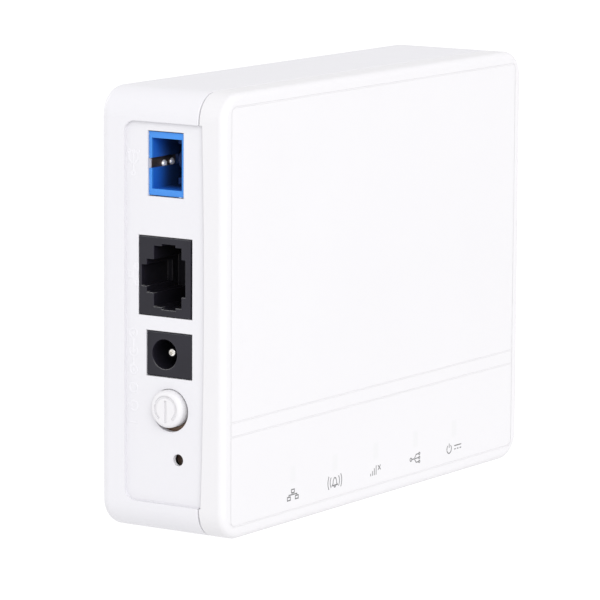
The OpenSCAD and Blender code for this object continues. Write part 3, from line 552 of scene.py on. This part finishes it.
# Raised signs beside the sockets, moulded with the case, in a lighter copy of the case white that is a
# painted highlight
PANEL_SIGN_Y = 7.1 * MM
PANEL_LINE = 0.42
PANEL_RISE = 0.035 * MM
PANEL_SIGNS = [
    ("splitter", (OPTICAL_LOW.z + OPTICAL_HIGH.z) / 2, 1.3),
    ("network", (LAN_LOW.z + LAN_HIGH.z) / 2, 1.1),
    ("polarity", (DC_LOW.z + DC_HIGH.z) / 2, 0.95),
    ("on_off", (BUTTON_LOW.z + BUTTON_HIGH.z) / 2, 1.0),
]
for sign, z, size in PANEL_SIGNS:
    sign_piece("panel_sign_" + sign, SIGNS[sign], on_panel(PANEL_SIGN_Y, z, size), PANEL_LINE / size,
               PANEL_RISE, RAISED_HIGHLIGHT)

# Blank form printed on the rating label: an outline, rows, a column line and a square, in millimetres
LABEL_X = (LABEL_LOW.x + LABEL_HIGH.x) / 2
LABEL_Z = (LABEL_LOW.z + LABEL_HIGH.z) / 2
FORM_HALF = (21.5, 11)
FORM_ROW = 5.5
FORM_COLUMN = 6.5
FORM_SQUARE = 11
FORM_LINE = 0.2
FORM_RISE = 0.01 * MM
SQUARE_MIDDLE = ((FORM_HALF[0] + FORM_COLUMN) / 2, (FORM_ROW - FORM_HALF[1]) / 2)
FORM = [
    (box_line(0, 0, 2 * FORM_HALF[0], 2 * FORM_HALF[1]), True),
    ([(-FORM_HALF[0], FORM_ROW), (FORM_HALF[0], FORM_ROW)], False),
    ([(-FORM_HALF[0], 0), (FORM_COLUMN, 0)], False),
    ([(-FORM_HALF[0], -FORM_ROW), (FORM_COLUMN, -FORM_ROW)], False),
    ([(FORM_COLUMN, FORM_ROW), (FORM_COLUMN, -FORM_HALF[1])], False),
    (box_line(*SQUARE_MIDDLE, FORM_SQUARE, FORM_SQUARE), True),
]
sign_piece("label_form", FORM, on_label(LABEL_X, LABEL_Z), FORM_LINE, FORM_RISE, PRINT)


# ---------------------------------------------------------------- floor, light and camera

FLOOR_HALF = 4.0
FLOOR_GLOW = 0.95  # lets the floor fade into the white surroundings
floor_mesh = bmesh.new()
bmesh.ops.create_grid(floor_mesh, x_segments=8, y_segments=8, size=FLOOR_HALF)
floor_data = bpy.data.meshes.new("floor")
floor_mesh.to_mesh(floor_data)
floor_mesh.free()
floor = bpy.data.objects.new("floor", floor_data)
bpy.context.collection.objects.link(floor)
floor_paper = surface("floor_paper", grey(0.13), 0.9, mottle=0.005, mottle_scale=3, grain=0.02,
                      grain_size=2 * MM, edge=0.1 * MM, edge_highlight_gain=1.0, Specular_IOR_Level=0.1)
floor_paper.bsdf.inputs["Emission Color"].default_value = (1, 1, 1, 1)
floor_paper.bsdf.inputs["Emission Strength"].default_value = FLOOR_GLOW
floor_data.materials.append(floor_paper.material)

world = bpy.data.worlds.new("studio")
world.use_nodes = True
BACKDROP = 1.0  # brightness of the white surroundings in the picture
AMBIENT = 0.93  # the light that they give
background = world.node_tree.nodes["Background"]
background.inputs["Color"].default_value = (1.0, 1.0, 1.0, 1)
seen = world.node_tree.nodes.new("ShaderNodeLightPath").outputs["Is Camera Ray"]
level = world.node_tree.nodes.new("ShaderNodeMapRange")
level.inputs["To Min"].default_value = AMBIENT
level.inputs["To Max"].default_value = BACKDROP
world.node_tree.links.new(seen, level.inputs["Value"])
world.node_tree.links.new(level.outputs["Result"], background.inputs["Strength"])
bpy.context.scene.world = world
bpy.context.scene.view_settings.view_transform = "Standard"


MIDDLE = (CAD_BOX[0] + CAD_BOX[1]) / 2


def softbox(name, direction, distance, size, power):
    """A square area light of the given size and watts, aimed at the middle of the object."""
    light = bpy.data.lights.new(name, "AREA")
    light.shape = "SQUARE"
    light.size = size
    light.energy = power
    lamp = bpy.data.objects.new(name, light)
    bpy.context.collection.objects.link(lamp)
    lamp.location = MIDDLE + distance * direction
    lamp.rotation_euler = (MIDDLE - lamp.location).to_track_quat("-Z", "Y").to_euler()


softbox("key_softbox", Vector((-0.60, -0.60, 0.50)), distance=2.6, size=1.6, power=34.0)
softbox("front_softbox", Vector((0.38, -0.90, 0.15)), distance=2.0, size=1.0, power=4.0)
softbox("back_softbox", Vector((0.10, 0.97, 0.22)), distance=2.0, size=1.2, power=9.0)

# Camera: turned to the port panel's side, slightly above the object
LENS = 259.32
SENSOR = 36
NEAR, FAR = 0.01, 20
YAW = math.radians(-56.463)
PITCH = math.radians(8.867)
ROLL = math.radians(0.31)
DISTANCE = 859.562 * MM
SHIFT_RIGHT = 27.784 * MM
SHIFT_UP = 2.618 * MM
AIM = Vector((PORT_X, 0, CASE_Z + 45 * MM))

back = Vector((math.sin(YAW) * math.cos(PITCH), -math.cos(YAW) * math.cos(PITCH), math.sin(PITCH)))
sideways = (-back).cross(Vector((0, 0, 1))).normalized()
upright = sideways.cross(-back)
right = math.cos(ROLL) * sideways + math.sin(ROLL) * upright
up = math.cos(ROLL) * upright - math.sin(ROLL) * sideways
camera_data = bpy.data.cameras.new("camera")
camera_data.sensor_width = SENSOR
camera_data.lens = LENS
camera_data.clip_start = NEAR
camera_data.clip_end = FAR
camera = bpy.data.objects.new("camera", camera_data)
bpy.context.collection.objects.link(camera)
stand = AIM + SHIFT_RIGHT * right + SHIFT_UP * up + DISTANCE * back
camera.matrix_world = Matrix.Translation(stand) @ Matrix((right, up, back)).transposed().to_4x4()
bpy.context.scene.camera = camera
